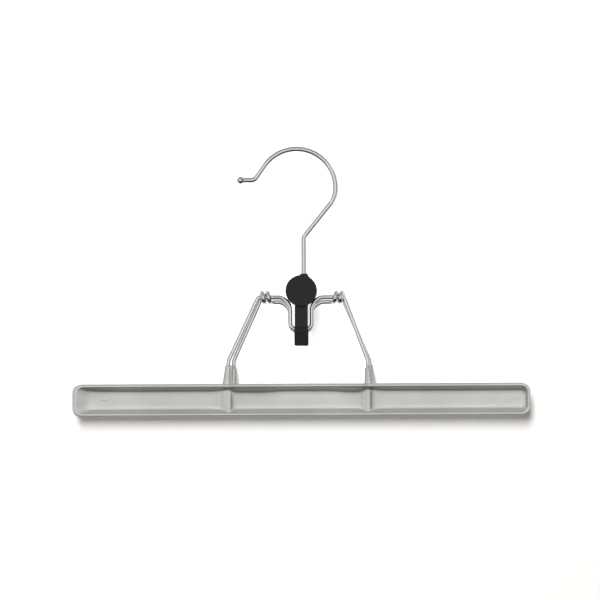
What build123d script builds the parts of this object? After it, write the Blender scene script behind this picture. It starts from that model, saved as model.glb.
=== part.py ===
from build123d import *
import os
from math import atan2, cos, dist, pi, radians, sin, sqrt, tan

# A skirt hanger in millimetres, hanging upright: +Z up, +X to the viewer's right, viewer at -Y.
# The origin is the point of the hook that rests on the rail.

# Swivel hook
hook_wire = 3.4
hook_radius = 25.7
hook_offset = 2.6
hook_mouth_angle = 144.7
hook_throat_angle = -39.0
hook_tip_reach = 12.4
hook_tip_length = 8.6
hook_tip_bend = 4.0
hook_throat_bend = 5.5
hook_stem_offset = 2.0
hook_stem = 32.984
hook_ball = 4.7
hook_head = 5.4
hook_head_height = 2.0

# Hinge of the two frames
frame_wire = 3.0
disc_above_hinge = 4.25
hinge_clearance = 0.1
coil_pitch = 3.7
coil_quarters = 7
coil_inset_left = 2.125
coil_inset_right = 3.525
coil_lead = 3.4
coil_exit = 3.0
axle_over_left = 1.5
axle_over_right = 0.3
axle_bend = 3.0

# Middle U of each frame
u_half_width = 7.05
u_drop = 20.95
u_step = 1.0
u_spacing = 4.4
u_bend = 4.0
shoulder_bend = 8.5
shoulder_run = 10.95
shoulder_set = 1.9

# Legs of each frame
front_leg_left = 47.8
front_leg_right = 43.8
rear_leg_left = 44.4
rear_leg_right = 45.1
knee_above_bar = 15.2
knee_bend = 8.0
lead_bend = 12.0
wire_end_above_base = 4.9

# Clamping bars
bar_length = 300.0
floor_height = 12.7
wall_run = 4.0
bar_depth = 5.4
hinge_above_bar = 67.3
pocket_corner = 2.5
corner_step = 2.3
corner_ease = 0.3
end_run_soft = 6.0
end_run_steep = 2.6
sheet = 0.8
coat = 0.4
jaw_gap = 0.3
weld_sink = 0.1
sleeve_coat = 0.7
tall_sleeve = 12.6
short_sleeve = 10.6
rim_band = 0.8
rim_round = 0.6
floor_round = 0.6

# Catch
strap_width = 8.6
strap_thickness = 2.0
strap_swell = 0.8
strap_swell_height = 1.6
tab_width = 9.3
tab_thickness = 3.0
tab_drop = 10.0
tab_slant = 25.0
tab_round = 1.0
seat_clearance = 0.3
eye_wall = 1.7
eye_flare = 0.9
eye_mouth_back = 75.0
eye_mouth_front = 165.0
disc_offset = 0.2
disc_diameter = 20.0
boss_wall = 1.3
boss_peak = 1.3
boss_shoulder = 2.2
boss_neck_wall = 0.4
stem_clearance = 0.1
chamber_clearance = 0.2
chamber_foot = 1.0
head_below_disc = 0.55

# Cover disc
cover_lip = 0.3
cover_thickness = 1.8
cover_round = 0.7
plug_clearance = 0.1

overrun = 2.0
spots_per_wire_share = 4.0
neighbour_share = 2.5

cover_diameter = disc_diameter + 2 * cover_lip
frame_r = frame_wire / 2
stem_r = hook_wire / 2
coil_r = frame_wire + hinge_clearance
coil_width = coil_pitch * coil_quarters / 4
shoulder_start = u_half_width + shoulder_run
coil_left = shoulder_start + coil_inset_left + coil_width
coil_right = shoulder_start + coil_inset_right + coil_width
axle_left = coil_left + axle_over_left
axle_right = coil_right + axle_over_right
loop_centre_z = -sqrt((hook_radius - stem_r) ** 2 - hook_offset**2)
throat_x = hook_radius * cos(radians(hook_throat_angle)) - hook_offset
throat_z = loop_centre_z + hook_radius * sin(radians(hook_throat_angle))
throat_corner_z = throat_z - (throat_x - hook_stem_offset) / tan(radians(-hook_throat_angle))
head_top = throat_corner_z - hook_stem
disc_z = head_top + head_below_disc
hinge_z = disc_z - disc_above_hinge
bar_z = hinge_z - hinge_above_bar
bar_height = floor_height + 2 * wall_run
bar_corner = pocket_corner + corner_step - corner_ease
front_u_y = -u_spacing / 2
rear_u_y = u_spacing / 2
front_u_z = hinge_z - u_drop
rear_u_z = front_u_z - u_step
wall = sheet + 2 * coat
bar_top = bar_z + bar_height / 2
bar_base = bar_z - bar_height / 2
wire_y = jaw_gap / 2 + coat + sheet + frame_r - weld_sink
wire_end = bar_base + wire_end_above_base
knee_z = bar_top + knee_above_bar
disc_back = u_spacing / 2 + frame_r + seat_clearance
disc_front = disc_back + strap_swell + strap_thickness


def tube(path, diameter):
    """A round wire carried along a path."""
    start = Plane(origin=path @ 0, z_dir=path % 0)
    return sweep(start * Circle(diameter / 2), path=path)


def bent(points, radii):
    """Edges of straight runs through the points, with a tangent arc at each inner point."""
    return list(FilletPolyline(*points, radius=radii).edges())


def biarc(start, start_way, end, end_way):
    """Two arcs that leave the start along its way, meet, and reach the end along its way."""
    chord = end - start
    ways = start_way + end_way
    turn = 2 * (1 - start_way.dot(end_way))
    along = chord.dot(ways)
    reach = (sqrt(along**2 + turn * chord.dot(chord)) - along) / turn
    first = start + start_way * reach
    last = end - end_way * reach
    meeting = (first + last) * 0.5
    return [
        TangentArc(start, meeting, tangent=start_way),
        TangentArc(meeting, end, tangent=(last - first).normalized()),
    ]


def coil_point(quarter, start_x, side):
    """A quarter point of the helix round the hinge axis, with its heading."""
    angle = quarter * pi / 2
    place = Vector(
        side * (coil_pitch * quarter / 4 - start_x),
        coil_r * cos(angle),
        hinge_z + coil_r * sin(angle),
    )
    heading = Vector(side * coil_pitch / (2 * pi), -coil_r * sin(angle), coil_r * cos(angle))
    return place, heading.normalized()


def coil(start_x, side):
    """Edges of one coil, from its outer end at the back to its inner end below the axle."""
    edges = []
    for quarter in range(coil_quarters):
        start, start_way = coil_point(quarter, start_x, side)
        end, end_way = coil_point(quarter + 1, start_x, side)
        edges += biarc(start, start_way, end, end_way)
    return edges


def hook_path():
    """The hook's centreline: stem, throat, loop and tip."""
    centre = Vector(-hook_offset, 0, loop_centre_z)

    def on_loop(angle):
        return centre + Vector(cos(radians(angle)), 0, sin(radians(angle))) * hook_radius

    throat = on_loop(hook_throat_angle)
    throat_corner = Vector(hook_stem_offset, 0, throat_corner_z)
    foot = Vector(hook_stem_offset, 0, head_top)
    mouth = on_loop(hook_mouth_angle)
    mouth_way = Vector(-sin(radians(hook_mouth_angle)), 0, cos(radians(hook_mouth_angle)))
    tip_corner = mouth + mouth_way * hook_tip_reach
    tip = tip_corner - Vector(hook_tip_length, 0, 0)
    top = on_loop((hook_mouth_angle + hook_throat_angle) / 2)
    edges = bent([foot, throat_corner, throat], [hook_throat_bend])
    edges += [ThreePointArc(throat, top, mouth)]
    edges += bent([mouth, tip_corner, tip], [hook_tip_bend])
    return Wire(edges), tip, foot


def front_frame_path():
    """The front wire: its straight stretches beside the U are the axle of the hinge."""
    y = -wire_y
    points = [
        Vector(-front_leg_left, y, wire_end),
        Vector(-front_leg_left, y, knee_z),
        Vector(-axle_left, 0, hinge_z),
        Vector(-shoulder_start, 0, hinge_z),
        Vector(-u_half_width, -shoulder_set, hinge_z),
        Vector(-u_half_width, front_u_y, front_u_z),
        Vector(u_half_width, front_u_y, front_u_z),
        Vector(u_half_width, -shoulder_set, hinge_z),
        Vector(shoulder_start, 0, hinge_z),
        Vector(axle_right, 0, hinge_z),
        Vector(front_leg_right, y, knee_z),
        Vector(front_leg_right, y, wire_end),
    ]
    half = [knee_bend, axle_bend, axle_bend, shoulder_bend, u_bend]
    return Wire(bent(points, half + half[::-1]))


def rear_frame_path():
    """The rear wire: each leg runs up into a coil, and the coils lead to the U."""
    edges = []
    exits = []
    for start_x, leg_x, side in ((coil_left, rear_leg_left, 1), (coil_right, rear_leg_right, -1)):
        start, way = coil_point(0, start_x, side)
        end, end_way = coil_point(coil_quarters, start_x, side)
        leg = [
            Vector(-side * leg_x, wire_y, wire_end),
            Vector(-side * leg_x, wire_y, knee_z),
            start - way * coil_lead,
            start,
        ]
        edges.append(bent(leg, [knee_bend, lead_bend]) + coil(start_x, side))
        exits.append((end, end + end_way * coil_exit))
    (left_end, left_corner), (right_end, right_corner) = exits
    shoulder_z = left_corner.Z
    middle = [
        left_end,
        left_corner,
        Vector(-u_half_width, left_corner.Y, shoulder_z),
        Vector(-u_half_width, rear_u_y, rear_u_z),
        Vector(u_half_width, rear_u_y, rear_u_z),
        Vector(u_half_width, right_corner.Y, shoulder_z),
        right_corner,
        right_end,
    ]
    half = [axle_bend, shoulder_bend, u_bend]
    left, right = edges
    return Wire(left + bent(middle, half + half[::-1]) + right)


def wall_gain(offset, level, run):
    """How far a wall's surface stands outside the bar's outline, for an offset out of the pocket."""
    rise = bar_depth - wall
    climb = level - jaw_gap / 2 - wall + offset
    to_band = climb - bar_depth + rim_band
    return (offset - wall) * tan(atan2(rise, run) / 2) + to_band * run / rise


def tray_block(offset, top):
    """Everything inside the tray's surface at an offset out of the pocket, up to a top level."""
    low = jaw_gap / 2 + wall - offset
    rows = []
    for level in (low, top):
        high = bar_height / 2 + wall_gain(offset, level, wall_run)
        left = -bar_length / 2 - wall_gain(offset, level, end_run_soft)
        right = bar_length / 2 + wall_gain(offset, level, end_run_steep)
        rows.append((level, high, left, right))
    (low, low_high, low_left, low_right), (up, up_high, up_left, up_right) = rows
    across = make_face(Polyline(
        (-low, -low_high), (-low, low_high), (-up, up_high), (-up, -up_high), close=True
    ))
    along = make_face(Polyline(
        (low_left, -low), (low_right, -low), (up_right, -up), (up_left, -up), close=True
    ))
    block = extrude(Plane.YZ * Pos(0, bar_z) * across, bar_length, both=True)
    block &= extrude(Plane.XY.offset(bar_z) * along, bar_height, both=True)
    level_edges = block.edges().filter_by(Axis.X) + block.edges().filter_by(Axis.Z)
    hips = [edge for edge in block.edges() if edge not in level_edges]
    corner = pocket_corner + corner_step * offset / wall
    outline = Plane.XZ * Pos(0, bar_z) * RectangleRounded(bar_length, bar_height, bar_corner)
    return fillet(hips, corner) & extrude(outline, up)


def tray(inner, outer, rim):
    """The pressed tray between two offset surfaces, open to the front, with its rim at a level."""
    return tray_block(outer, rim) - tray_block(inner, rim + coat)


def leg_rod(x, diameter, low, high):
    """An upright rod round a leg's end in the front bar."""
    return Pos(x, -wire_y, low) * Cylinder(
        diameter / 2, high - low, align=(Align.CENTER, Align.CENTER, Align.MIN)
    )


def jaw(frame_solid, legs, turn):
    """The steel tray and its coat, round the ends of one frame's legs."""
    rim = jaw_gap / 2 + bar_depth
    steel = tray(coat, coat + sheet, rim - 2 * coat)
    skin = tray(0, wall, rim)
    skin = soften(skin, rim)
    sleeve = frame_wire + 2 * sleeve_coat
    floor = jaw_gap / 2 + coat + sheet
    notch_depth = rim - floor
    for x, length in legs:
        steel -= Pos(x, -floor - notch_depth / 2, bar_top) * Box(sleeve, notch_depth, bar_height)
        skin += leg_rod(x, sleeve, wire_end, bar_top + length)
        skin += Pos(x, -wire_y, wire_end) * Sphere(sleeve / 2)
    steel = Rot(0, 0, turn) * steel - frame_solid
    skin = Rot(0, 0, turn) * skin - steel - frame_solid
    return steel, skin


def soften(skin, rim):
    """Round the rim of the coat and the edge of its clamping floor."""
    rim_edges = [edge for edge in skin.edges() if abs(edge.center().Y + rim) < coat / 2]
    skin = fillet(rim_edges, rim_round)
    back = jaw_gap / 2
    floor_edges = [edge for edge in skin.edges() if abs(edge.center().Y + back) < coat / 2]
    return fillet(floor_edges, floor_round)


def catch_profile():
    """Side view of the strap, the curled seat of the front U, the eye of the rear U and the tab."""
    seat_r = frame_r + seat_clearance
    curl_r = seat_r + strap_thickness
    bore_r = frame_r + hinge_clearance
    eye_r = bore_r + eye_wall
    swell_z = front_u_z + strap_swell_height
    inner = front_u_y - seat_r
    curl = Pos(front_u_y, front_u_z) * Circle(curl_r)
    curl -= Pos(front_u_y, front_u_z + curl_r) * Rectangle(2 * curl_r, 2 * curl_r)
    eye = Pos(rear_u_y, rear_u_z) * Circle(eye_r)
    web = make_face(Polyline(
        (front_u_y, front_u_z - curl_r),
        (rear_u_y, rear_u_z - eye_r),
        (rear_u_y, rear_u_z),
        (front_u_y, front_u_z),
        close=True,
    ))
    strap = make_face(Polyline(
        (inner, front_u_z),
        (inner - strap_swell, swell_z),
        (inner - strap_swell, disc_z),
        (inner - strap_swell - strap_thickness, disc_z),
        (inner - strap_swell - strap_thickness, swell_z),
        (inner - strap_thickness, front_u_z),
        close=True,
    ))
    lean = radians(tab_slant)
    tab_start = Vector(front_u_y - curl_r * cos(lean), front_u_z - curl_r * sin(lean))
    tab_foot = rear_u_z - tab_drop
    tab_run = (tab_start.Y - tab_foot) * tan(lean)
    tab_span = tab_thickness / cos(lean)
    tab = make_face(Polyline(
        (tab_start.X, tab_start.Y),
        (tab_start.X + tab_run, tab_foot),
        (tab_start.X + tab_run + tab_span, tab_foot),
        (tab_start.X + tab_span, tab_start.Y),
        close=True,
    ))
    mouth_reach = eye_r + overrun
    rays = [radians(eye_mouth_back), radians(eye_mouth_front)]
    rays.insert(1, sum(rays) / 2)
    lips = [(rear_u_y + mouth_reach * cos(ray), rear_u_z + mouth_reach * sin(ray)) for ray in rays]
    mouth = make_face(Polyline((rear_u_y, rear_u_z), *lips, close=True))
    seat = Pos(front_u_y, front_u_z) * Circle(seat_r)
    bore = Pos(rear_u_y, rear_u_z) * Circle(bore_r)
    hook_part = curl + eye + web + tab - seat - bore - mouth
    return hook_part, strap - seat


def catch_body():
    """The moulded catch: disc, boss with the chamber of the hook's head, strap, curl and tab."""
    curl, strap = catch_profile()
    side = Plane.YZ.offset(disc_offset)
    body = extrude(side * curl, tab_width / 2, both=True)
    bottom = body.edges().filter_by(Axis.Y).sort_by(Axis.Z)[:2]
    body = fillet(bottom, tab_round)
    body += extrude(side * strap, strap_width / 2, both=True)
    flare = tab_width / 2 + disc_offset - u_half_width + u_bend
    for way in (-1, 1):
        cone = Cone(frame_r + hinge_clearance, frame_r + hinge_clearance + eye_flare, flare)
        at = Vector(disc_offset + way * (tab_width - flare) / 2, rear_u_y, rear_u_z)
        body -= Plane(origin=at, z_dir=(way, 0, 0)) * cone
    facing = Plane(origin=(disc_offset, -disc_back, disc_z), z_dir=(0, -1, 0))
    body += facing * Cylinder(
        disc_diameter / 2, disc_front - disc_back, align=(Align.CENTER, Align.CENTER, Align.MIN)
    )
    chamber_r = hook_head / 2 + chamber_clearance
    boss_r = chamber_r + boss_wall
    chamber_low = head_top - hook_head_height - chamber_foot
    boss_low = chamber_low - boss_wall
    disc_high = disc_z + disc_diameter / 2
    boss_high = disc_high - boss_shoulder
    boss_tall = boss_high - boss_low
    upright = (Align.CENTER, Align.CENTER, Align.MIN)
    boss = Pos(hook_stem_offset, 0, boss_low) * Cylinder(boss_r, boss_tall, align=upright)
    boss += Pos(hook_stem_offset, -disc_back / 2, boss_low) * Box(
        2 * boss_r, disc_back, boss_tall, align=upright
    )
    neck_high = disc_high + boss_peak
    boss += Pos(hook_stem_offset, 0, boss_high) * Cone(
        boss_r, stem_r + stem_clearance + boss_neck_wall, neck_high - boss_high, align=upright
    )
    chamber = Pos(hook_stem_offset, 0, chamber_low) * Cylinder(
        chamber_r, head_top + stem_clearance - chamber_low, align=upright
    )
    chamber += Pos(hook_stem_offset, -disc_front / 2, chamber_low) * Box(
        2 * chamber_r, disc_front, head_top + stem_clearance - chamber_low, align=upright
    )
    bore = Pos(hook_stem_offset, 0, chamber_low) * Cylinder(
        stem_r + stem_clearance, neck_high + overrun - chamber_low, align=upright
    )
    return body + boss - chamber - bore


def cover_disc():
    """The round cover, with the plug that shuts the chamber of the hook's head."""
    upright = (Align.CENTER, Align.CENTER, Align.MIN)
    facing = Plane(origin=(disc_offset, -disc_front, disc_z), z_dir=(0, -1, 0))
    cover = facing * Cylinder(cover_diameter / 2, cover_thickness, align=upright)
    front = cover.edges().filter_by(GeomType.CIRCLE).sort_by(Axis.Y)[0]
    cover = fillet(front, cover_round)
    chamber_low = head_top - hook_head_height - chamber_foot
    plug_width = hook_head + 2 * chamber_clearance - 2 * plug_clearance
    plug_tall = head_top + stem_clearance - chamber_low - 2 * plug_clearance
    plug_tip = hook_head / 2 + chamber_clearance
    plug_deep = disc_front - plug_tip
    cover += Pos(hook_stem_offset, -plug_tip - plug_deep / 2, chamber_low + plug_clearance) * Box(
        plug_width, plug_deep, plug_tall, align=upright
    )
    return cover


def hook():
    """The swivel hook: one wire with a ball at its tip and an upset head at its foot."""
    path, tip, foot = hook_path()
    upright = (Align.CENTER, Align.CENTER, Align.MIN)
    head = Pos(foot.X, 0, foot.Z - hook_head_height) * Cylinder(
        hook_head / 2, hook_head_height, align=upright
    )
    return tube(path, hook_wire) + Pos(tip.X, 0, tip.Z) * Sphere(hook_ball / 2) + head


def least_gap(path, diameter):
    """Least gap of a wire to itself, between points more than two diameters apart along it."""
    steps = round(path.length / diameter * spots_per_wire_share)
    spots = [tuple(path.position_at(step / steps)) for step in range(steps + 1)]
    skip = round(neighbour_share * diameter * steps / path.length)
    return min(
        dist(spots[first], spots[second])
        for first in range(steps + 1)
        for second in range(first + skip, steps + 1)
    ) - diameter


front_path = front_frame_path()
rear_path = rear_frame_path()
front_wire = tube(front_path, frame_wire)
rear_wire = tube(rear_path, frame_wire)
front_legs = ((-front_leg_left, tall_sleeve), (front_leg_right, short_sleeve))
rear_legs = ((-rear_leg_right, tall_sleeve), (rear_leg_left, short_sleeve))
front_plate, front_coat = jaw(front_wire, front_legs, 0)
rear_plate, rear_coat = jaw(rear_wire, rear_legs, 180)

parts = {
    "hook": hook(),
    "catch_body": catch_body(),
    "cover_disc": cover_disc(),
    "front_frame": front_wire,
    "rear_frame": rear_wire,
    "front_jaw_plate": front_plate,
    "rear_jaw_plate": rear_plate,
    "front_jaw_coat": front_coat,
    "rear_jaw_coat": rear_coat,
}

os.makedirs("parts", exist_ok=True)
for name, shape in parts.items():
    export_step(shape, f"parts/{name}.step")

print(f"Least gap of the rear wire to itself: {least_gap(rear_path, frame_wire):.2f} mm")
for name, path in (("front_frame", front_path), ("rear_frame", rear_path)):
    share = parts[name].volume / (pi * frame_r**2 * path.length)
    print(f"{name}: {path.length:.1f} mm of wire, volume {share:.4f} of section times length")
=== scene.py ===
from itertools import accumulate

import bpy
import numpy as np
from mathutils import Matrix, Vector


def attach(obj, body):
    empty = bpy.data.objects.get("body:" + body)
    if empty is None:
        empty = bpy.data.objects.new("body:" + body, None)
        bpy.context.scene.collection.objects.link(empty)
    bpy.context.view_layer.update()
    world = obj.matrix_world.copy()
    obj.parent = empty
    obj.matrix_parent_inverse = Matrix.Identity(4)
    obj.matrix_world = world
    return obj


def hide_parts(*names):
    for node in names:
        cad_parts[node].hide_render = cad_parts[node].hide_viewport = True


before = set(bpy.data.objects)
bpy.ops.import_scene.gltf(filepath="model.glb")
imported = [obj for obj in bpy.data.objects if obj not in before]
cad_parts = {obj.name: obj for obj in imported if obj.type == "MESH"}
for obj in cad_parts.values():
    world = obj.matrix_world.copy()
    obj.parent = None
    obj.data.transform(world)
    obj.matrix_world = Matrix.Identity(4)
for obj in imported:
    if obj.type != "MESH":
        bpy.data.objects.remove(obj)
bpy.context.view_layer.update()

# The swivel hook: one steel wire, 3.4 mm thick, bent into a loop and chrome plated.
# Its tip is upset into a ball and its foot into a flat head that turns in the catch.
# The pieces' lengths are in millimetres, and lay_mesh turns them into metres.
metres_per_mm = 0.001
rail_seat_drop = 24.0
loop_radius = 25.7
loop_offset = 2.6
throat_radius = 17.2
loop_angles = (-39.0, 144.7)
loop_rings = 90
stem_x = 2.0
stem_foot_z = -92.0
throat_bend = 5.5
tip_bend = 4.0
tip_reach = 11.7
tip_length = 9.0
hook_radius = 1.7
ball_radius = 2.5
ball_neck_power = 14.0
ball_span = (-0.42 * np.pi, 0.495 * np.pi)
ball_rings = 34
head_radius = 2.7
head_height = 2.0
head_edge = 0.3
foot_along = np.array([0.0, 0.05, 0.3])
wire_sides = 40
off_every_wire = (0.31, 0.83, 0.46)
haze_range = 2.2
cool_blue = 1.01


def rounded_run(points, radii, arc_step=0.09):
    """Places and headings of a wire bent at each inner point: the straight run stops
    radius * tan(turn / 2) short of it, and an arc carries on, whose place after an angle a is
    start + radius * (sin a * way in + (1 - cos a) * inward) and whose heading is
    cos a * way in + sin a * inward."""
    points = np.asarray(points, float)
    ways = np.diff(points, axis=0)
    ways /= np.linalg.norm(ways, axis=1)[:, None]
    places, headings = [points[:1]], [ways[:1]]
    for corner, radius, before, after in zip(points[1:-1], radii, ways[:-1], ways[1:]):
        turn = np.arccos(np.clip(before @ after, -1, 1))
        inward = after - before * (before @ after)
        inward /= np.linalg.norm(inward)
        start = corner - before * radius * np.tan(turn / 2)
        angle = np.linspace(0, turn, 3 + int(turn / arc_step))[:, None]
        places.append(start + radius * (np.sin(angle) * before + (1 - np.cos(angle)) * inward))
        headings.append(np.cos(angle) * before + np.sin(angle) * inward)
    places.append(points[-1:])
    headings.append(ways[-1:])
    return np.concatenate(places), np.concatenate(headings)


def carry_circle(places, headings, radii, sides=wire_sides):
    """Rings round a line: ring i is place_i + radius_i * (cos u * side_i + sin u * up_i). The side
    turns only as the heading does: side' = side - (side . way') / (1 + way . way') * (way + way')."""
    first = np.cross(headings[0], off_every_wire)
    first /= np.linalg.norm(first)

    def turned(state, way):
        side, last = state
        side = side - (side @ way) / (1 + last @ way) * (last + way)
        return side / np.linalg.norm(side), way

    states = accumulate(headings[1:], turned, initial=(first, headings[0]))
    side = np.array([state[0] for state in states])
    up = np.cross(headings, side)
    angle = np.linspace(0, 2 * np.pi, sides, endpoint=False)[None, :, None]
    ring = np.cos(angle) * side[:, None] + np.sin(angle) * up[:, None]
    return places[:, None] + np.asarray(radii)[:, None, None] * ring


def grid_faces(rows, columns, first=0):
    """Quads of a closed-round grid of places, row after row, and a fan over each end row, whose
    middle points are the two places after the grid's own."""
    number = first + np.arange(rows * columns).reshape(rows, columns)
    beside = np.roll(number, -1, axis=1)
    quads = np.stack([number[:-1], beside[:-1], beside[1:], number[1:]], axis=-1).reshape(-1, 4)
    start, end = first + rows * columns, first + rows * columns + 1
    low = np.stack([beside[0], number[0], np.full(columns, start)], axis=-1)
    high = np.stack([number[-1], beside[-1], np.full(columns, end)], axis=-1)
    return quads.tolist() + low.tolist() + high.tolist()


def lay_mesh(name, places, faces, finish):
    """A smooth piece of the hanger, in metres, from places in millimetres and the faces on them."""
    mesh = bpy.data.meshes.new(name)
    mesh.from_pydata((places * metres_per_mm).tolist(), [], faces)
    mesh.shade_smooth()
    mesh.materials.append(finish)
    piece = bpy.data.objects.new(name, mesh)
    bpy.context.scene.collection.objects.link(piece)
    return piece


def lay_skin(name, grids, finish):
    """A mesh of one or more closed-round grids, each shut at both ends on the mean of its end row.
    In its UV map u is the share of the way round and v the millimetres along."""
    places, faces, maps, first = [], [], [], 0
    for grid in grids:
        rows, columns = grid.shape[:2]
        ends = np.stack([grid[0].mean(axis=0), grid[-1].mean(axis=0)])
        places += [grid.reshape(-1, 3), ends]
        faces += grid_faces(rows, columns, first)
        first += rows * columns + 2
        middle = grid.mean(axis=1)
        along = np.concatenate([[0], np.linalg.norm(np.diff(middle, axis=0), axis=1).cumsum()])
        step = 1 / columns
        u = np.arange(columns) / columns
        v = np.broadcast_to(along[:, None], (rows, columns))
        quad_u = np.broadcast_to(u, (rows - 1, columns))
        quad_map = np.stack([
            np.stack([quad_u, quad_u + step, quad_u + step, quad_u], axis=-1),
            np.stack([v[:-1], v[:-1], v[1:], v[1:]], axis=-1),
        ], axis=-1)
        low_map = np.stack([np.stack([u + step, u, u], axis=-1), np.zeros((columns, 3))], axis=-1)
        high_map = np.stack([
            np.stack([u, u + step, u], axis=-1), np.full((columns, 3), along[-1]),
        ], axis=-1)
        maps += [each.reshape(-1, 2) for each in (quad_map, low_map, high_map)]
    piece = lay_mesh(name, np.concatenate(places), faces, finish)
    piece.data.uv_layers.new(name="UVMap").data.foreach_set("uv", np.concatenate(maps).ravel())
    return piece


def new_finish(name):
    """A new material, with its nodes, its links and its shader."""
    material = bpy.data.materials.new(name)
    material.use_nodes = True
    tree = material.node_tree
    return material, tree.nodes, tree.links, tree.nodes["Principled BSDF"]


def add_node(nodes, kind, **sockets):
    """A node whose named sockets are set; an underscore stands for a space in a socket's name."""
    node = nodes.new(kind)
    for socket, value in sockets.items():
        node.inputs[socket.replace("_", " ")].default_value = value
    return node


def add_ramp(nodes, low, high):
    """A blend between two colours, each given as its position and its colour."""
    ramp = nodes.new("ShaderNodeValToRGB")
    for stop, (position, colour) in zip(ramp.color_ramp.elements, (low, high)):
        stop.position = position
        stop.color = colour
    return ramp


def chrome_finish(name, haze, dull, bright):
    """Bright chrome plate on drawn wire: a mirror with fine lines along the wire, a faint waviness,
    and patches that are a little hazier."""
    material, nodes, links, shader = new_finish(name)
    shader.inputs["Metallic"].default_value = 1.0
    place = add_node(nodes, "ShaderNodeTexCoord")
    stretch = add_node(nodes, "ShaderNodeMapping", Scale=(60.0, 0.5, 1.0))
    lines = add_node(nodes, "ShaderNodeTexNoise", Scale=1.0, Detail=4.0)
    patches = add_node(nodes, "ShaderNodeTexNoise", Scale=130.0, Detail=3.0)
    rough = add_node(nodes, "ShaderNodeMapRange", From_Min=0.35, From_Max=0.7,
                     To_Min=haze, To_Max=haze * haze_range)
    tint = add_ramp(nodes, (0.3, (dull, dull, dull * cool_blue, 1)),
                    (0.65, (bright, bright, bright * cool_blue, 1)))
    drawn = add_node(nodes, "ShaderNodeBump", Strength=0.12, Distance=0.00002)
    wavy = add_node(nodes, "ShaderNodeBump", Strength=0.1, Distance=0.00005)
    links.new(place.outputs["UV"], stretch.inputs["Vector"])
    links.new(stretch.outputs["Vector"], lines.inputs["Vector"])
    links.new(place.outputs["Object"], patches.inputs["Vector"])
    links.new(patches.outputs["Fac"], rough.inputs["Value"])
    links.new(rough.outputs["Result"], shader.inputs["Roughness"])
    links.new(lines.outputs["Fac"], tint.inputs["Fac"])
    links.new(tint.outputs["Color"], shader.inputs["Base Color"])
    links.new(lines.outputs["Fac"], drawn.inputs["Height"])
    links.new(patches.outputs["Fac"], wavy.inputs["Height"])
    links.new(drawn.outputs["Normal"], wavy.inputs["Normal"])
    links.new(wavy.outputs["Normal"], shader.inputs["Normal"])
    return material


loop_centre = np.array([
    -loop_offset, 0.0, -np.sqrt(rail_seat_drop ** 2 - loop_offset ** 2)
])
first_angle, last_angle = np.radians(loop_angles)
loop_angle = np.linspace(first_angle, last_angle, loop_rings)[:, None]
bend_radius = np.where(loop_angle < 0, throat_radius, loop_radius)
bend_centre = loop_centre + (loop_radius - bend_radius) * np.array([1.0, 0, 0])
loop_places = bend_centre + bend_radius * np.hstack(
    [np.cos(loop_angle), 0 * loop_angle, np.sin(loop_angle)]
)
loop_ways = np.hstack([-np.sin(loop_angle), 0 * loop_angle, np.cos(loop_angle)])
throat, throat_way = loop_places[0], loop_ways[0]
mouth, mouth_way = loop_places[-1], loop_ways[-1]
stem_corner = throat - throat_way * (throat[0] - stem_x) / throat_way[0]
stem_foot = np.array([stem_x, 0.0, stem_foot_z])
tip_corner = mouth + mouth_way * tip_reach
tip = tip_corner - np.array([tip_length, 0.0, 0.0])

head_along = np.array([0, 0, head_edge, head_height - head_edge, head_height]) - head_height
head_radii = head_radius - head_edge * np.array([2, 1, 0, 0, 1])
ball_along = ball_radius * np.sin(np.linspace(*ball_span, ball_rings))
ball_round = np.sqrt(ball_radius ** 2 - ball_along ** 2)
ball_neck = (ball_round ** ball_neck_power + hook_radius ** ball_neck_power) ** (1 / ball_neck_power)
ball_radii = np.where(ball_along < 0, ball_neck, ball_round)
low_places, low_ways = rounded_run([stem_foot, stem_corner, throat], [throat_bend])
tip_places, tip_ways = rounded_run([mouth, tip_corner, tip], [tip_bend])
up = np.array([[0.0, 0.0, 1.0]])
out = np.array([[-1.0, 0.0, 0.0]])
hook_places = np.concatenate([
    stem_foot + head_along[:, None] * up, stem_foot + foot_along[:, None] * up,
    low_places[1:-1], loop_places[:-1], tip_places[:-1], tip + ball_along[:, None] * out,
])
hook_ways = np.concatenate([
    np.repeat(up, len(head_along) + len(foot_along), axis=0),
    low_ways[1:-1], loop_ways[:-1], tip_ways[:-1], np.repeat(out, len(ball_along), axis=0),
])
plain = len(hook_places) - len(head_radii) - len(ball_radii)
hook_radii = np.concatenate([head_radii, np.full(plain, hook_radius), ball_radii])
chrome = chrome_finish("hook_chrome", 0.05, 0.58, 0.68)
hook = lay_skin("swivel_hook", [carry_circle(hook_places, hook_ways, hook_radii)], chrome)
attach(hook, "hook")
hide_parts("hook")

# The two frames: 3 mm steel wires, bent in a jig and chrome plated. The front wire's straight
# stretches are the hinge's axle, and the rear wire winds a short coil round each of them.
# Both dip into a U in the middle, and their legs end welded to the clamping bars.
frame_radius = 1.5
hinge_z = -95.7
coil_radius = 3.1
coil_pitch = 3.7
coil_quarters = 7
coil_starts = {1: 26.6, -1: 28.0}
coil_lead = 3.4
coil_exit = 3.0
axle_ends = (-28.1, 28.3)
axle_bend = 3.0
u_half = 7.05
u_foot_z = -116.65
u_step = 1.0
u_y = 2.2
u_bend = 4.0
shoulder_bend = 8.5
shoulder_start = 18.0
shoulder_set = 1.9
front_leg_left = 47.8
front_leg_right = 43.8
rear_leg_left = 44.4
rear_leg_right = 45.1
leg_y = 2.75
leg_foot_z = -168.45
knee_z = -137.45
knee_bend = 8.0
lead_bend = 12.0


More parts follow.
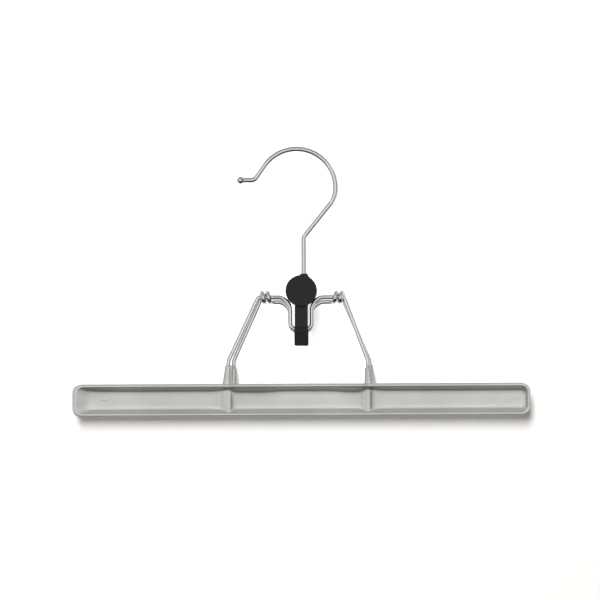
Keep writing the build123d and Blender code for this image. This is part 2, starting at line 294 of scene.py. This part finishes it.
def coil_line(start_x, side, samples=64):
    """Places and headings of a coil: a helix whose place after q quarter turns is
    (side * (pitch * q / 4 - start), R * cos(q * 90), hinge + R * sin(q * 90))."""
    quarter = np.linspace(0, coil_quarters, samples)
    angle = quarter * np.pi / 2
    places = np.stack([
        side * (coil_pitch * quarter / 4 - start_x),
        coil_radius * np.cos(angle),
        hinge_z + coil_radius * np.sin(angle),
    ], axis=1)
    headings = np.stack([
        np.full(samples, side * coil_pitch / (2 * np.pi)),
        -coil_radius * np.sin(angle),
        coil_radius * np.cos(angle),
    ], axis=1)
    return places, headings / np.linalg.norm(headings, axis=1)[:, None]


front_line = rounded_run(
    [
        (-front_leg_left, -leg_y, leg_foot_z), (-front_leg_left, -leg_y, knee_z),
        (axle_ends[0], 0, hinge_z),
        (-shoulder_start, 0, hinge_z), (-u_half, -shoulder_set, hinge_z), (-u_half, -u_y, u_foot_z),
        (u_half, -u_y, u_foot_z), (u_half, -shoulder_set, hinge_z), (shoulder_start, 0, hinge_z),
        (axle_ends[1], 0, hinge_z),
        (front_leg_right, -leg_y, knee_z), (front_leg_right, -leg_y, leg_foot_z),
    ],
    [knee_bend, axle_bend, axle_bend, shoulder_bend, u_bend,
     u_bend, shoulder_bend, axle_bend, axle_bend, knee_bend],
)

rear_runs = {}
for side, leg_x in ((1, rear_leg_left), (-1, rear_leg_right)):
    coil_places, coil_ways = coil_line(coil_starts[side], side)
    leg = rounded_run(
        [(-side * leg_x, leg_y, leg_foot_z), (-side * leg_x, leg_y, knee_z),
         coil_places[0] - coil_ways[0] * coil_lead, coil_places[0]],
        [knee_bend, lead_bend],
    )
    rear_runs[side] = (
        np.concatenate([leg[0][:-1], coil_places]), np.concatenate([leg[1][:-1], coil_ways]),
    )
left_places, left_ways = rear_runs[1]
right_places, right_ways = rear_runs[-1]
left_corner = left_places[-1] + left_ways[-1] * coil_exit
right_corner = right_places[-1] + right_ways[-1] * coil_exit
middle_places, middle_ways = rounded_run(
    [
        left_places[-1], left_corner, (-u_half, left_corner[1], left_corner[2]),
        (-u_half, u_y, u_foot_z - u_step), (u_half, u_y, u_foot_z - u_step),
        (u_half, right_corner[1], right_corner[2]), right_corner, right_places[-1],
    ],
    [axle_bend, shoulder_bend, u_bend, u_bend, shoulder_bend, axle_bend],
)
rear_line = (
    np.concatenate([left_places[:-1], middle_places[:-1], right_places[::-1]]),
    np.concatenate([left_ways[:-1], middle_ways[:-1], -right_ways[::-1]]),
)

frame_chrome = chrome_finish("frame_chrome", 0.06, 0.62, 0.72)
for name, (places, ways) in {"front_wire_frame": front_line, "rear_wire_frame": rear_line}.items():
    rings = carry_circle(places, ways, np.full(len(places), frame_radius))
    wire = lay_skin(name, [rings], frame_chrome)
    half = name.split("_")[0]
    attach(wire, f"{half}_half")
    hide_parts(f"{half}_frame")

# The clamping bars' coats: each bar is a pressed steel tray dipped in silver-grey vinyl after its
# frame's legs were welded in. The vinyl rounds the rim, climbs the legs as sleeves, and lies
# over the welded ends as soft ridges.
bar_z = -163.0
bar_half_length = 150.0
bar_half_height = 10.35
bar_depth = 5.4
bar_gap = 0.15
bar_wall = 1.6
wall_run = 4.0
end_run_soft = 11.5
end_run_steep = 2.6
rim_band = 0.8
rim_round = 0.7
floor_round = 5.2
soft_round = 30.0
foot_run = 3.4
soft_foot_run = 7.0
edge_round = 0.6
pocket_corner = 3.0
bar_corner = 5.0
corner_places = 9
end_places = 9
spine_start = 0.05
spine_rows = 9
column_span = (-118, 134)
column_count = 64
sleeve_radius = 2.2
sleeve_root = 3.0
sleeve_rings = 26
sleeve_ring_power = 1.6
lip_height = 0.7
lip_rings = 7
lip_sink = 0.05
sleeves = {
    "front": {-front_leg_left: 12.6, front_leg_right: 10.6},
    "rear": {-rear_leg_right: 12.6, rear_leg_left: 10.6},
}
sleeve_slant = 0.85
skirt_rise = 0.55
skirt_width = 1.1
skirt_depth = 0.4
ridge_cover = 0.35
ridge_width = 3.4
ridge_power = 2.2
ridge_blend = 2.2
groove_width = 0.6
groove_depth = 0.1
apron_height = 0.75
apron_reach = 11.0
apron_fade = 4.6
inner_reach = 4.0
inner_fade = 2.5
flat_middle = 3.4
flat_half = 15.0
flat_fade = 14.0
leg_fade = 4.0
lean = 0.075
bow = 0.002
rim_margin = 0.3
rim_fade = 0.6
rows_past_rim = 4


def bend_evenly(points, radii, arc_points=7, run_points=(3, 7, 2, 2, 4, 3)):
    """The same rounded run as rounded_run, but with a set number of points on each arc and straight,
    so that profiles with other slopes match point for point."""
    points = np.asarray(points, float)
    ways = np.diff(points, axis=0)
    ways /= np.linalg.norm(ways, axis=1)[:, None]
    ends, pieces = points[0], []
    for corner, radius, before, after, count in zip(
            points[1:-1], radii, ways[:-1], ways[1:], run_points):
        turn = np.arccos(np.clip(before @ after, -1, 1))
        inward = after - before * (before @ after)
        inward /= np.linalg.norm(inward)
        start = corner - before * radius * np.tan(turn / 2)
        pieces.append(ends + (start - ends) * np.linspace(0, 1, count, endpoint=False)[:, None])
        angle = np.linspace(0, turn, arc_points, endpoint=False)[:, None]
        pieces.append(start + radius * (np.sin(angle) * before + (1 - np.cos(angle)) * inward))
        ends = corner + after * radius * np.tan(turn / 2)
    pieces.append(ends + (points[-1] - ends) * np.linspace(0, 1, run_points[-1])[:, None])
    return np.concatenate(pieces)[:, :2]


def wall_profile(run, foot_round=floor_round, lead=foot_run):
    """One section of the tray from the pocket's floor, over the rim, to the back: distance outside
    the bar's outline and depth in front of the clamping face, with each bend an arc."""
    rise = bar_depth - bar_wall
    half_angle = np.arctan2(rise, run) / 2
    slope = run / rise
    pocket_rim = -bar_wall * np.tan(half_angle) - rim_band * slope
    pocket_foot = pocket_rim - run
    back_foot = -(bar_depth - rim_band) * slope
    points = [
        (pocket_foot - lead, bar_wall, 0), (pocket_foot, bar_wall, 0), (pocket_rim, bar_depth, 0),
        (0, bar_depth, 0), (0, bar_depth - rim_band, 0), (back_foot, 0, 0), (back_foot - foot_run, 0, 0),
    ]
    radii = [foot_round, rim_round, rim_round, edge_round, edge_round]
    return bend_evenly(points, radii)


def ease(share):
    """A soft step from 0 to 1: t * t * (3 - 2 * t)."""
    share = np.clip(share, 0, 1)
    return share * share * (3 - 2 * share)


def smooth_top(one, other, width):
    """The higher of two heights, with a fillet where they cross: other + (one - other) * t +
    width * t * (1 - t), where t is 0.5 + 0.5 * (one - other) / width, kept from 0 to 1."""
    share = np.clip(0.5 + 0.5 * (one - other) / width, 0, 1)
    return other + (one - other) * share + width * share * (1 - share)


def leg_columns(middle, reach=13.0, step=0.32):
    """Places along the bar, close together near a leg."""
    return np.arange(middle - reach, middle + reach, step)


side_section = wall_profile(wall_run)
soft_section = wall_profile(end_run_soft, soft_round, soft_foot_run)
steep_section = wall_profile(end_run_steep)
spine = np.linspace(spine_start, 1, spine_rows)[:, None]
floor_half = bar_half_height + side_section[0, 0]
panel_half = floor_half + foot_run
back_half = bar_half_height + side_section[-1, 0]
pocket_rows = np.hstack([spine[:-1] * floor_half, np.full((spine_rows - 1, 1), bar_wall)])
back_rows = np.hstack([spine[-2::-1] * back_half, np.zeros((spine_rows - 1, 1))])
half_heights = np.concatenate([
    pocket_rows[:, 0], bar_half_height + side_section[:, 0], back_rows[:, 0]
])
depths = np.concatenate([pocket_rows[:, 1], side_section[:, 1], back_rows[:, 1]])


def end_rows(section):
    """Half lengths and depths at an end of the bar, row for row with the long sides."""
    inner = bar_half_length + section[0, 0] - floor_half * (1 - spine[:-1, 0])
    outer = bar_half_length + section[-1, 0] - back_half * (1 - spine[-2::-1, 0])
    lengths = np.concatenate([inner, bar_half_length + section[:, 0], outer])
    levels = np.concatenate([pocket_rows[:, 1], section[:, 1], back_rows[:, 1]])
    return lengths, levels


soft_lengths, soft_depths = end_rows(soft_section)
steep_lengths, steep_depths = end_rows(steep_section)
out_share = np.clip((half_heights - floor_half) / (bar_half_height - floor_half), 0, 1)
corner_radii = np.minimum(pocket_corner + (bar_corner - pocket_corner) * out_share, half_heights)
corner_angle = np.radians(np.linspace(0, 90, corner_places))
end_share = np.linspace(-1, 1, end_places)[1:-1]


def beside_each_other(along, rise, level):
    """Places from their three measures, each spread over the grid that they make together."""
    return np.stack(np.broadcast_arrays(along, rise, level), axis=-1)


def coat_shell(left_leg, right_leg):
    """Rows of rounded rectangles: each goes up the right end, round its corner, along the top,
    down the left end and back along the bottom. On the pocket side the floor between the legs
    rises by a * h + b * h * h over its lower edge, and each leg has a ridge whose height is
    top / (1 + (away / width) ** power), with an apron on its outer side."""
    fixed_x = np.unique(np.concatenate([
        np.linspace(*column_span, column_count), leg_columns(left_leg), leg_columns(right_leg),
    ]).round(2))
    height, radius, right, left, level, right_level, left_level = (
        values[:, None] for values in (half_heights, corner_radii, steep_lengths, soft_lengths,
                                       depths, steep_depths, soft_depths))
    flat_end = end_share * (height - radius)
    cosine, sine = np.cos(corner_angle), np.sin(corner_angle)
    sweep = sine ** 2
    right_end = beside_each_other(right, flat_end, right_level)
    top_right = beside_each_other(
        right - radius + radius * cosine, height - radius + radius * sine,
        right_level + (level - right_level) * sweep)
    top = beside_each_other(fixed_x[::-1], height, level)
    top_left = beside_each_other(
        -left + radius - radius * sine, height - radius + radius * cosine,
        level + (left_level - level) * sweep)
    left_end = beside_each_other(-left, flat_end[:, ::-1], left_level)
    below = [(run * np.array([1, -1, 1]))[:, ::-1] for run in (top_left, top, top_right)]
    grid = np.concatenate([right_end, top_right, top, top_left, left_end, *below], axis=1)
    rim_row = len(pocket_rows) + int(np.argmax(side_section[:, 1]))
    pocket = grid[:rim_row + rows_past_rim]
    x, rise, level = pocket[..., 0], pocket[..., 1], pocket[..., 2]
    between = np.clip((x - left_leg) / leg_fade, 0, 1) * np.clip((right_leg - x) / leg_fade, 0, 1)
    twist = between * ease((np.abs(x - flat_middle) - flat_half) / flat_fade)
    up_floor = np.clip(rise + panel_half, 0, 2 * panel_half)
    level = level + twist * (lean * up_floor + bow * up_floor ** 2)
    for leg_x in (left_leg, right_leg):
        outward = np.sign(leg_x) * (x - leg_x)
        past_foot = np.clip(leg_foot_z - bar_z - rise, 0, None)
        away = np.hypot(outward, past_foot) / ridge_width
        groove = groove_depth * np.exp(-(outward / groove_width) ** 2)
        top_level = leg_y - bar_gap + frame_radius + ridge_cover - groove
        ridge = bar_wall + (top_level - bar_wall) / (1 + away ** ridge_power)
        apron = ease((apron_reach - outward) / apron_fade) * ease((outward + inner_reach) / inner_fade)
        below_rim = np.clip((bar_depth + rim_margin - level) / rim_fade, 0, 1)
        lifted = smooth_top(bar_wall + apron_height * apron, level, ridge_blend / 2)
        level = level + (lifted - level) * below_rim
        level = level + (smooth_top(ridge, level, ridge_blend) - level) * below_rim
    pocket[..., 2] = level
    return grid


def sleeve(leg_x, height):
    """The coat climbing a leg: oval rings whose half depth is the wire's radius plus the coat, wider
    on the outer side by a * (1 - h / height), with a skirt b * exp(-h / c) where they leave the
    bar, and closing on the wire in a rounded lip."""
    side = np.sign(leg_x)
    straight = height - lip_height
    climb = np.linspace(0, 1, sleeve_rings) ** sleeve_ring_power * straight
    climb = np.concatenate([[-sleeve_root], climb])
    lip = np.linspace(0, np.pi / 2, lip_rings)[1:]
    lift = np.concatenate([climb, straight + lip_height * np.sin(lip)])
    thick = sleeve_radius - frame_radius
    radii = np.concatenate([
        np.full(len(climb), sleeve_radius), frame_radius - lip_sink + thick * np.cos(lip),
    ])
    above = np.clip(lift, 0, None)
    slant = sleeve_slant * (1 - above / height)
    skirt = np.exp(-above / skirt_rise)
    angle = np.linspace(0, 2 * np.pi, wire_sides, endpoint=False)
    across = np.outer(radii + slant + skirt_width * skirt, np.cos(angle))
    deep = np.outer(radii + skirt_depth * skirt, np.sin(angle))
    upward = np.broadcast_to((bar_half_height + lift)[:, None], across.shape)
    return np.stack([leg_x + side * slant[:, None] + across, leg_y - bar_gap + deep, upward], axis=-1)


def vinyl_finish(name):
    """Silver-grey plastisol, dipped and oven-set: a satin skin with a faint orange peel, tiny
    metal flakes, slow drifts of tone and a few dull rubs."""
    material, nodes, links, shader = new_finish(name)
    shader.inputs["Metallic"].default_value = 0.78
    place = add_node(nodes, "ShaderNodeTexCoord")
    drift = add_node(nodes, "ShaderNodeTexNoise", Scale=28, Detail=3)
    flake = add_node(nodes, "ShaderNodeTexNoise", Scale=5200, Detail=1)
    peel = add_node(nodes, "ShaderNodeTexNoise", Scale=900, Detail=3)
    rub = add_node(nodes, "ShaderNodeTexNoise", Scale=220, Detail=6)
    tone = add_ramp(nodes, (0.3, (0.545, 0.548, 0.530, 1)), (0.7, (0.620, 0.624, 0.606, 1)))
    speck = add_node(nodes, "ShaderNodeMapRange", From_Min=0.25, From_Max=0.75,
                     To_Min=0.97, To_Max=1.03)
    tinted = add_node(nodes, "ShaderNodeVectorMath")
    tinted.operation = "SCALE"
    rough = add_node(nodes, "ShaderNodeMapRange", From_Min=0.35, From_Max=0.68,
                     To_Min=0.285, To_Max=0.34)
    skin = add_node(nodes, "ShaderNodeBump", Strength=0.15, Distance=0.00005)
    for noise in (drift, flake, peel, rub):
        links.new(place.outputs["Object"], noise.inputs["Vector"])
    links.new(drift.outputs["Fac"], tone.inputs["Fac"])
    links.new(flake.outputs["Fac"], speck.inputs["Value"])
    links.new(tone.outputs["Color"], tinted.inputs[0])
    links.new(speck.outputs["Result"], tinted.inputs["Scale"])
    links.new(tinted.outputs["Vector"], shader.inputs["Base Color"])
    links.new(rub.outputs["Fac"], rough.inputs["Value"])
    links.new(rough.outputs["Result"], shader.inputs["Roughness"])
    links.new(peel.outputs["Fac"], skin.inputs["Height"])
    links.new(skin.outputs["Normal"], shader.inputs["Normal"])
    return material


def zip_ring(ring, middle):
    """Faces that close a long narrow ring: each place is joined to the one across the slot, and
    a triangle ends each side. The ring's place number middle lies on its right-hand end."""
    loop = np.roll(ring, -middle)
    half = len(loop) // 2
    one, two = loop[1:half], loop[:half:-1]
    strip = np.stack([one[:-1], one[1:], two[1:], two[:-1]], axis=-1)
    return strip.tolist() + [[loop[0], one[0], two[0]], [one[-1], loop[half], two[-1]]]


def lay_coat(name, legs, turn, finish):
    """The coat of one bar, shell and sleeves in one mesh. Local places (along, up, forward) become
    places in the frame, and a turn of -1 lays the bar half round the hook's axis."""
    shell = coat_shell(*legs)
    rows, columns = shell.shape[:2]
    shell = np.stack([shell[..., 0], -bar_gap - shell[..., 2], bar_z + shell[..., 1]], axis=-1)
    number = np.arange(rows * columns).reshape(rows, columns)
    beside = np.roll(number, -1, axis=1)
    quads = np.stack([number[1:], beside[1:], beside[:-1], number[:-1]], axis=-1).reshape(-1, 4)
    faces = quads.tolist()
    faces += zip_ring(number[0], len(end_share) // 2)
    faces += [face[::-1] for face in zip_ring(number[-1], len(end_share) // 2)]
    places = [shell.reshape(-1, 3)]
    first = rows * columns
    for leg_x, height in legs.items():
        skin = sleeve(leg_x, height)[:, ::-1]
        skin = np.stack([skin[..., 0], -bar_gap - skin[..., 1], bar_z + skin[..., 2]], axis=-1)
        places += [skin.reshape(-1, 3), skin[[0, -1]].mean(axis=1)]
        faces += grid_faces(*skin.shape[:2], first)
        first += skin.shape[0] * skin.shape[1] + 2
    return lay_mesh(name, np.concatenate(places) * np.array([turn, turn, 1.0]), faces, finish)


vinyl = vinyl_finish("jaw_coat")
for half, turn in (("front", 1.0), ("rear", -1.0)):
    coat = lay_coat(f"{half}_bar_coat", sleeves[half], turn, vinyl)
    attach(coat, f"{half}_half")
    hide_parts(f"{half}_jaw_coat")


# The steel trays under the coats: zinc-plated strip, 0.8 mm thick, pressed into a long tray.
# Each is welded to its frame's two legs before it is dipped, so the coat hides it.
def steel_finish(name):
    """Zinc-plated steel strip: a grey metal with a soft spangle, each grain a little duller or
    brighter and rougher or smoother than the next."""
    material, nodes, links, shader = new_finish(name)
    shader.inputs["Metallic"].default_value = 1.0
    place = add_node(nodes, "ShaderNodeTexCoord")
    spangle = add_node(nodes, "ShaderNodeTexVoronoi", Scale=450.0)
    tone = add_ramp(nodes, (0.0, (0.42, 0.43, 0.44, 1)), (1.0, (0.58, 0.59, 0.60, 1)))
    rough = add_node(nodes, "ShaderNodeMapRange", To_Min=0.3, To_Max=0.48)
    links.new(place.outputs["Object"], spangle.inputs["Vector"])
    links.new(spangle.outputs["Color"], tone.inputs["Fac"])
    links.new(tone.outputs["Color"], shader.inputs["Base Color"])
    links.new(spangle.outputs["Distance"], rough.inputs["Value"])
    links.new(rough.outputs["Result"], shader.inputs["Roughness"])
    return material


steel = steel_finish("jaw_steel")
for half in ("front", "rear"):
    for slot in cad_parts[f"{half}_jaw_plate"].material_slots:
        slot.material = steel


# The catch and its cover: two black mouldings, with the fine grain of a spark-eroded mould.
# The catch carries the disc, the strap and the eye that snaps on the rear wire; the cover's plug
# is pressed into the disc and shuts the hook's head in.
def moulded_finish(name, tone_low, tone_high, rough_low, rough_high):
    """Black moulded plastic: grain as bump, and slow patches of tone and sheen."""
    material, nodes, links, shader = new_finish(name)
    shader.inputs["Specular IOR Level"].default_value = 0.3
    place = add_node(nodes, "ShaderNodeTexCoord")
    grain = add_node(nodes, "ShaderNodeTexNoise", Scale=3400.0, Detail=2.0)
    sheen = add_node(nodes, "ShaderNodeTexNoise", Scale=160.0, Detail=5.0)
    tone = add_ramp(nodes, (0.3, tone_low), (0.7, tone_high))
    rough = add_node(nodes, "ShaderNodeMapRange", From_Min=0.3, From_Max=0.7,
                     To_Min=rough_low, To_Max=rough_high)
    skin = add_node(nodes, "ShaderNodeBump", Strength=0.3, Distance=0.00004)
    links.new(place.outputs["Object"], grain.inputs["Vector"])
    links.new(place.outputs["Object"], sheen.inputs["Vector"])
    links.new(sheen.outputs["Fac"], tone.inputs["Fac"])
    links.new(tone.outputs["Color"], shader.inputs["Base Color"])
    links.new(sheen.outputs["Fac"], rough.inputs["Value"])
    links.new(rough.outputs["Result"], shader.inputs["Roughness"])
    links.new(grain.outputs["Fac"], skin.inputs["Height"])
    links.new(skin.outputs["Normal"], shader.inputs["Normal"])
    return material


catch_plastic = moulded_finish(
    "catch_plastic", (0.015, 0.0145, 0.014, 1), (0.021, 0.020, 0.019, 1), 0.66, 0.8)
cover_plastic = moulded_finish(
    "cover_plastic", (0.014, 0.0135, 0.013, 1), (0.020, 0.019, 0.018, 1), 0.68, 0.82)
for node, finish in (("catch_body", catch_plastic), ("cover_disc", cover_plastic)):
    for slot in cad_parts[node].material_slots:
        slot.material = finish

# The studio, in metres: a camera square to the bar, a white world, a stepped paper backdrop, a
# key lamp high on the left and one from behind. Cards that only reflections see draw the bright
# and dark lines along the chrome.
camera_distance = 1.3
camera_roll = 0.25
sensor_width = 36
view_width = 0.3947
view_centre = (-0.0006, -0.0975)
camera_data = bpy.data.cameras.new("camera")
camera_data.sensor_width = sensor_width
camera_data.lens = sensor_width * camera_distance / view_width
camera = bpy.data.objects.new("camera", camera_data)
camera.location = (view_centre[0], -camera_distance, view_centre[1])
camera.rotation_euler = (np.pi / 2, np.radians(camera_roll), 0)
bpy.context.scene.collection.objects.link(camera)
bpy.context.scene.camera = camera


def area_lamp(name, place, aim, size, power):
    """A soft square lamp at a place, turned to face its aim, that reflections don't see."""
    lamp_data = bpy.data.lights.new(name, "AREA")
    lamp_data.shape = "RECTANGLE"
    lamp_data.size, lamp_data.size_y = size
    lamp_data.energy = power
    lamp = bpy.data.objects.new(name, lamp_data)
    lamp.location = place
    way = np.array(aim) - np.array(place)
    lamp.rotation_euler = Vector(way).to_track_quat("-Z", "Y").to_euler()
    lamp.visible_glossy = False
    bpy.context.scene.collection.objects.link(lamp)


area_lamp("key_lamp", (-0.36, -1.93, 0.84), (0, 0, -0.16), (0.72, 1.3), 57.0)
area_lamp("back_lamp", (0.6, 1.9, 0.7), (0, 0, -0.12), (1.0, 1.0), 36.0)


def lay_sheet(name, corners, finish):
    """A flat four-cornered sheet, with its corners in metres."""
    mesh = bpy.data.meshes.new(name)
    mesh.from_pydata(corners, [], [(0, 1, 2, 3)])
    mesh.materials.append(finish)
    sheet = bpy.data.objects.new(name, mesh)
    bpy.context.scene.collection.objects.link(sheet)
    return sheet


def mirror_card(name, place, aim, size, grey):
    """A card that only reflections see, at a place and turned to face its aim."""
    width, height = size[0] / 2, size[1] / 2
    corners = [(-width, -height, 0), (width, -height, 0), (width, height, 0), (-width, height, 0)]
    turn = Vector(np.array(aim) - np.array(place)).to_track_quat("Z", "Y")
    material, nodes, links, _ = new_finish(name)
    nodes.clear()
    glow = add_node(nodes, "ShaderNodeEmission", Color=(grey, grey, grey, 1))
    target = add_node(nodes, "ShaderNodeOutputMaterial")
    links.new(glow.outputs["Emission"], target.inputs["Surface"])
    card = lay_sheet(name, [turn @ Vector(corner) + Vector(place) for corner in corners], material)
    card.visible_camera = False
    card.visible_diffuse = False
    card.visible_shadow = False
    card.visible_transmission = False


mirror_card("soft_box", (0.08, -2.15, 0.12), (0, 0, -0.13), (1.5, 1.0), 1.3)
mirror_card("front_card", (0.0, -2.9, 0.0), (0, 0, -0.1), (3.4, 2.4), 0.5)
mirror_card("low_card", (0.0, -0.45, -1.25), (0, 0, -0.1), (4.0, 2.0), 0.03)
mirror_card("high_card", (0.0, -0.5, 1.2), (0, 0, -0.1), (3.0, 2.2), 0.42)
mirror_card("left_card", (-1.1, -0.9, -0.05), (0, 0, -0.1), (0.9, 1.6), 0.9)
mirror_card("right_card", (1.2, -0.8, -0.1), (0, 0, -0.1), (0.75, 1.6), 0.04)
mirror_card("far_left_card", (-1.3, -0.08, -0.1), (0, 0, -0.1), (0.8, 1.6), 0.15)


def paper_sheet(name, corners, heights, glows, one_sided):
    """White paper as a flat sheet. Camera rays see it brighter than its lamps make it, by a painted
    glow that blends from one colour at its first height to another at its second. Where that glow
    is strong it paints over the hanger's cast shadow, and where it is faint and warm it paints a warm
    tint into that shadow. A one-sided sheet is clear from behind, so that the views from there are open."""
    material, nodes, links, paper = new_finish(name)
    paper.inputs["Base Color"].default_value = (0.95, 0.95, 0.95, 1)
    paper.inputs["Roughness"].default_value = 1.0
    paper.inputs["Specular IOR Level"].default_value = 0.0
    rays = add_node(nodes, "ShaderNodeLightPath")
    glow = add_ramp(nodes, (0.0, glows[0]), (1.0, glows[1]))
    place = add_node(nodes, "ShaderNodeTexCoord")
    height = add_node(nodes, "ShaderNodeSeparateXYZ")
    rise = add_node(nodes, "ShaderNodeMapRange", From_Min=heights[0], From_Max=heights[1])
    links.new(place.outputs["Object"], height.inputs["Vector"])
    links.new(height.outputs["Z"], rise.inputs["Value"])
    links.new(rise.outputs["Result"], glow.inputs["Fac"])
    links.new(glow.outputs["Color"], paper.inputs["Emission Color"])
    links.new(rays.outputs["Is Camera Ray"], paper.inputs["Emission Strength"])
    if one_sided:
        side = add_node(nodes, "ShaderNodeNewGeometry")
        clear = add_node(nodes, "ShaderNodeBsdfTransparent")
        either = add_node(nodes, "ShaderNodeMixShader")
        links.new(side.outputs["Backfacing"], either.inputs["Fac"])
        links.new(paper.outputs["BSDF"], either.inputs[1])
        links.new(clear.outputs["BSDF"], either.inputs[2])
        links.new(either.outputs["Shader"], nodes["Material Output"].inputs["Surface"])
    sheet = lay_sheet(name, corners, material)
    sheet.visible_shadow = False
    sheet.visible_diffuse = False
    sheet.visible_glossy = False


floor_z = -0.40
floor_reach = 3
floor_heights = (-1, 1)
low_wall_y = 0.0085
high_wall_y = 0.028
wall_reach = 0.6
wall_top_z = 0.35
step_z = -0.134
# Painted light on the backdrops: the faint warm glow low on the near sheet paints a warm tint into the
# bar's cast shadow, and the strong glow at the step paints over the shadows there, fading to half higher
# up the far sheet.
shadow_tint_glow = (0.095, 0.085, 0.062, 1)
full_glow = (0.9, 0.9, 0.9, 1)
half_glow = (0.5, 0.5, 0.5, 1)
for name, wall_y, low, high, heights, glows in (
        ("low_backdrop", low_wall_y, floor_z, step_z, (-0.150, -0.137), (shadow_tint_glow, full_glow)),
        ("high_backdrop", high_wall_y, step_z, wall_top_z, (step_z, -0.1), (full_glow, half_glow))):
    ends = ((-wall_reach, low), (wall_reach, low), (wall_reach, high), (-wall_reach, high))
    paper_sheet(name, [(x, wall_y, z) for x, z in ends], heights, glows, True)
around = ((-1, -1), (1, -1), (1, 1), (-1, 1))
corners = [(floor_reach * x, floor_reach * y, floor_z) for x, y in around]
paper_sheet("floor", corners, floor_heights, (full_glow, full_glow), False)

world = bpy.data.worlds.new("studio")
bpy.context.scene.world = world
world.use_nodes = True
nodes, links = world.node_tree.nodes, world.node_tree.links
nodes.clear()
output = add_node(nodes, "ShaderNodeOutputWorld")
light = add_node(nodes, "ShaderNodeBackground", Color=(1, 1, 1, 1), Strength=0.12)
white = add_node(nodes, "ShaderNodeBackground", Color=(1, 1, 1, 1), Strength=1.0)
rays = add_node(nodes, "ShaderNodeLightPath")
mix = add_node(nodes, "ShaderNodeMixShader")
seen = add_node(nodes, "ShaderNodeMath")
seen.operation = "ADD"
seen.use_clamp = True
also = add_node(nodes, "ShaderNodeMath")
also.operation = "ADD"
also.use_clamp = True
links.new(rays.outputs["Is Camera Ray"], seen.inputs[0])
links.new(rays.outputs["Is Glossy Ray"], seen.inputs[1])
links.new(seen.outputs["Value"], also.inputs[0])
links.new(rays.outputs["Is Transmission Ray"], also.inputs[1])
links.new(also.outputs["Value"], mix.inputs["Fac"])
links.new(light.outputs["Background"], mix.inputs[1])
links.new(white.outputs["Background"], mix.inputs[2])
links.new(mix.outputs["Shader"], output.inputs["Surface"])
bpy.context.scene.view_settings.view_transform = "Standard"
